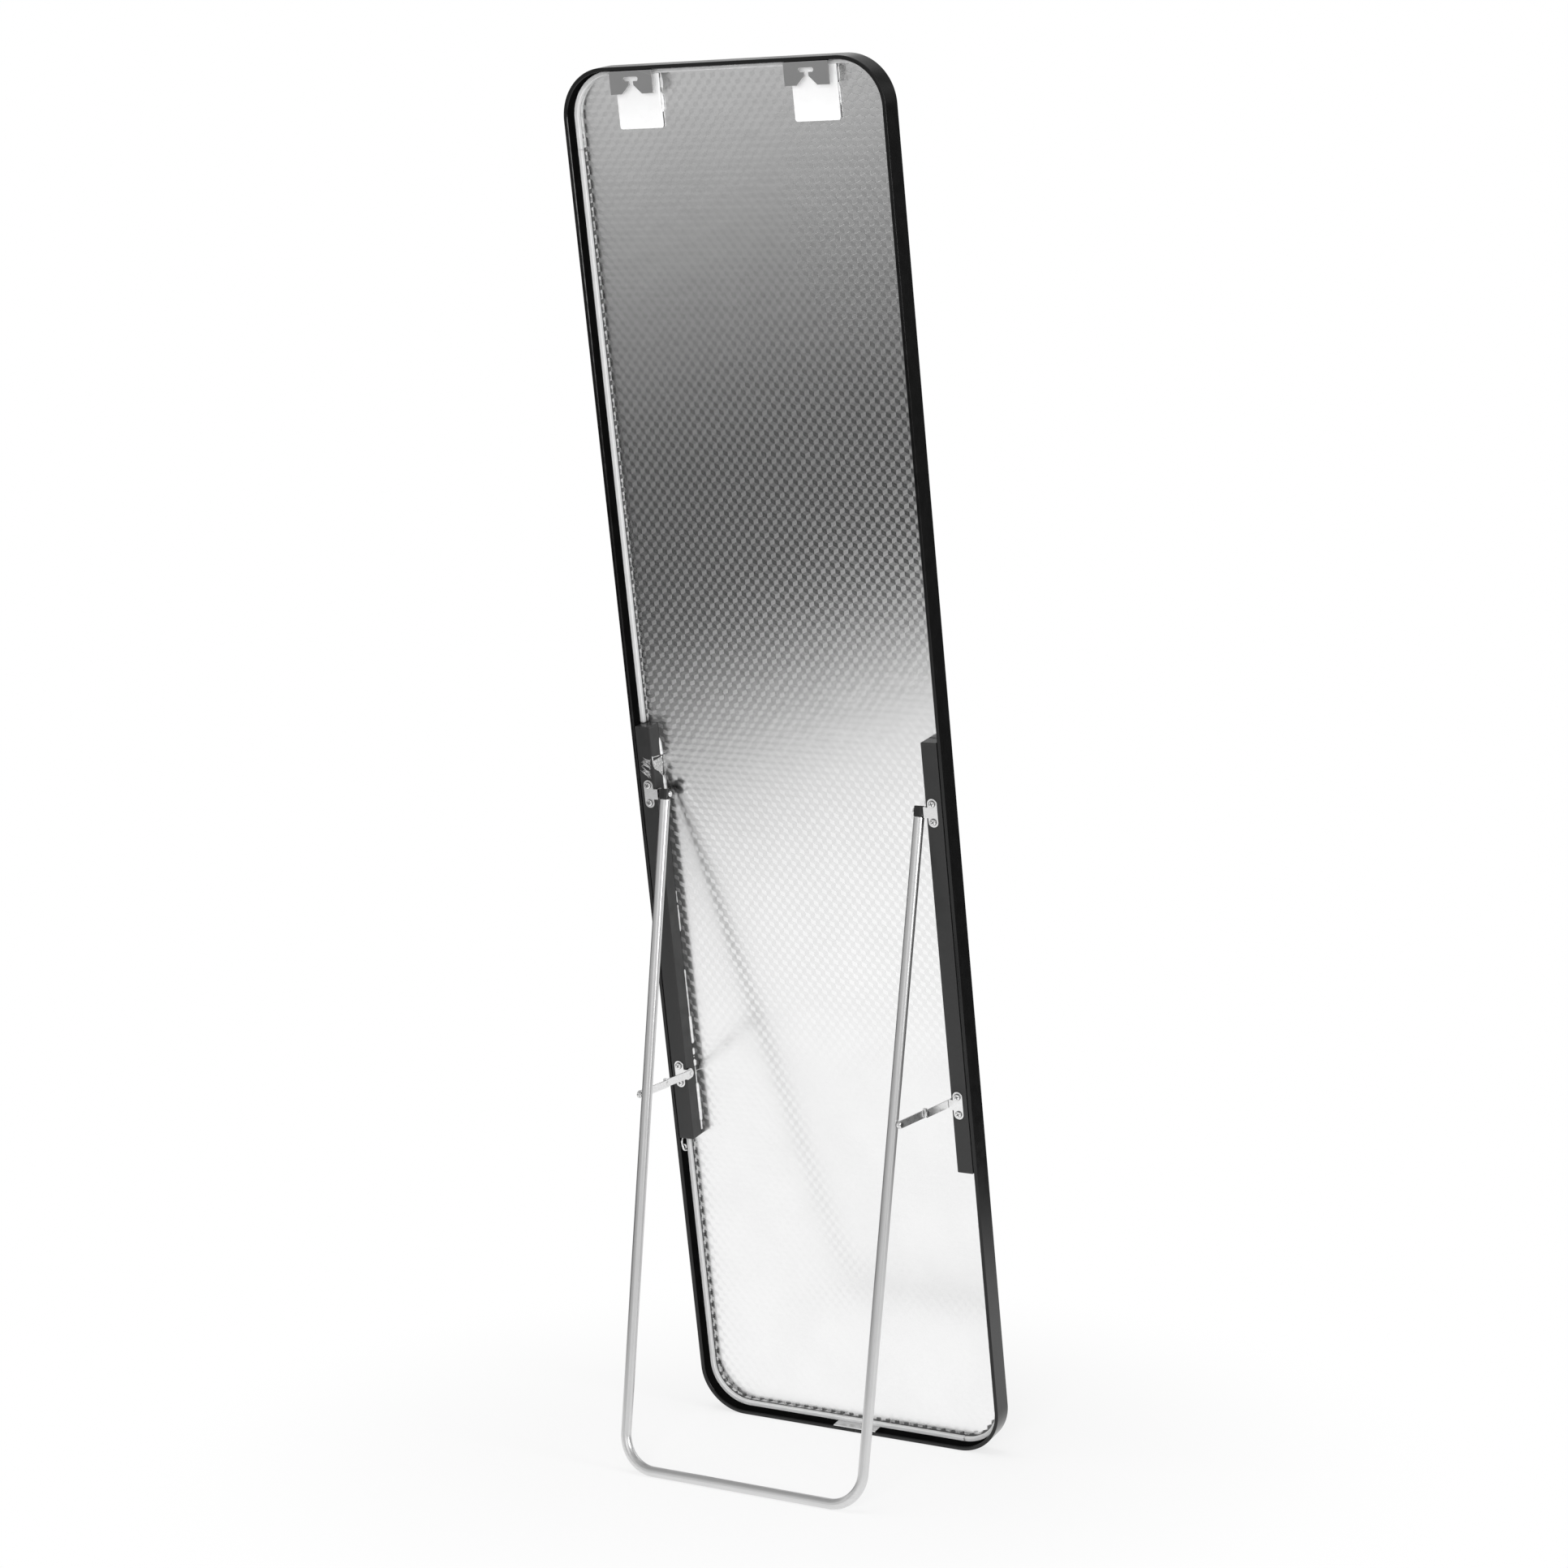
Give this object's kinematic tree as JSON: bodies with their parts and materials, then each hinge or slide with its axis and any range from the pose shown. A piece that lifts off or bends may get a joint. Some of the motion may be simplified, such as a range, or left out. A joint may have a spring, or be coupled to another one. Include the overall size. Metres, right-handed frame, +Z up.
{
  "type": "full-length floor mirror",
  "caption": "Tall slim mirror with rounded corners in a thin black frame, leaning on a fold-out tube stand held by folding stays; keyhole plates let it hang on a wall.",
  "frame": {"origin": "middle of the foot of the box around the mirror as it stands, on the floor", "axes": "+Z up, -Y towards the person looking into the glass, +Y to the back where the stand is, +X to the left as seen from behind"},
  "size_m": [0.4, 0.3024, 1.5805],
  "materials": {
    "black_anodised": "black satin anodised",
    "bare_aluminium": "bare mill finish",
    "silvered_glass": "polished",
    "silver_film": "embossed metallised film",
    "pale_foam": "soft foam",
    "white_pad": "soft foam",
    "grey_steel": "grey satin",
    "black_rail": "black satin",
    "black_plastic": "matt",
    "clear_glue": "hot-melt bead",
    "zinc_steel": "zinc plated",
    "zinc_screw": "bright zinc plated",
    "tube_aluminium": "drawn, satin"
  },
  "bodies": {
    "mirror": {"frame_loop": "black_anodised", "splice_plate": "bare_aluminium", "mirror_glass": "silvered_glass", "backing_film": "silver_film", "foam_strip_top": "pale_foam", "foam_strip_left": "pale_foam", "foam_strip_right": "pale_foam", "foam_strip_low": "pale_foam", "hinge_screws": "zinc_screw", "stay_screws": "zinc_screw", "hanger_left": "grey_steel", "hanger_pad_left": "white_pad", "rail_left": "black_rail", "rail_cap_top_left": "black_plastic", "rail_cap_low_left": "black_plastic", "glue_bead_left": "clear_glue", "hinge_bracket_left": "zinc_steel", "stay_bracket_left": "zinc_steel", "ear_rivet_left": "zinc_screw", "hanger_right": "grey_steel", "hanger_pad_right": "white_pad", "rail_right": "black_rail", "rail_cap_top_right": "black_plastic", "rail_cap_low_right": "black_plastic", "glue_bead_right": "clear_glue", "hinge_bracket_right": "zinc_steel", "stay_bracket_right": "zinc_steel", "ear_rivet_right": "zinc_screw"},
    "stand": {"stand_tube": "tube_aluminium", "leg_plug_left": "black_plastic", "hinge_pin_left": "zinc_screw", "leg_rivet_left": "zinc_screw", "leg_plug_right": "black_plastic", "hinge_pin_right": "zinc_screw", "leg_rivet_right": "zinc_screw"},
    "stay_front_left": {"stay_link_front_left": "zinc_steel", "knuckle_front_left": "zinc_screw"},
    "stay_rear_left": {"stay_link_rear_left": "zinc_steel", "knuckle_rear_left": "zinc_screw"},
    "stay_front_right": {"stay_link_front_right": "zinc_steel", "knuckle_front_right": "zinc_screw"},
    "stay_rear_right": {"stay_link_rear_right": "zinc_steel", "knuckle_rear_right": "zinc_screw"}
  },
  "joints": [
    {"name": "stand_fold", "type": "hinge", "parent": "mirror", "child": "stand", "pos_m": [0, 0.00556, 0.76694], "axis": [-1, 0, 0], "range_deg": [0, 17.6]},
    {"name": "stay_front_left_turn", "type": "hinge", "parent": "mirror", "child": "stay_front_left", "pos_m": [0.1714, -0.05377, 0.42809], "axis": [1, 0, 0], "range_deg": [0, 81.41]},
    {"name": "stay_rear_left_turn", "type": "hinge", "parent": "stand", "child": "stay_rear_left", "pos_m": [0.169, 0.06101, 0.42541], "axis": [-1, 0, 0], "range_deg": [0, 71.87]},
    {"name": "stay_front_right_turn", "type": "hinge", "parent": "mirror", "child": "stay_front_right", "pos_m": [-0.1714, -0.05377, 0.42809], "axis": [1, 0, 0], "range_deg": [0, 81.41]},
    {"name": "stay_rear_right_turn", "type": "hinge", "parent": "stand", "child": "stay_rear_right", "pos_m": [-0.169, 0.06101, 0.42541], "axis": [-1, 0, 0], "range_deg": [0, 71.87]}
  ],
  "couplings": [
    {"joint": "stay_front_left_turn", "follows": "stand_fold", "ratio": 4.6217},
    {"joint": "stay_rear_left_turn", "follows": "stand_fold", "ratio": 4.08},
    {"joint": "stay_front_right_turn", "follows": "stand_fold", "ratio": 4.6217},
    {"joint": "stay_rear_right_turn", "follows": "stand_fold", "ratio": 4.08}
  ]
}
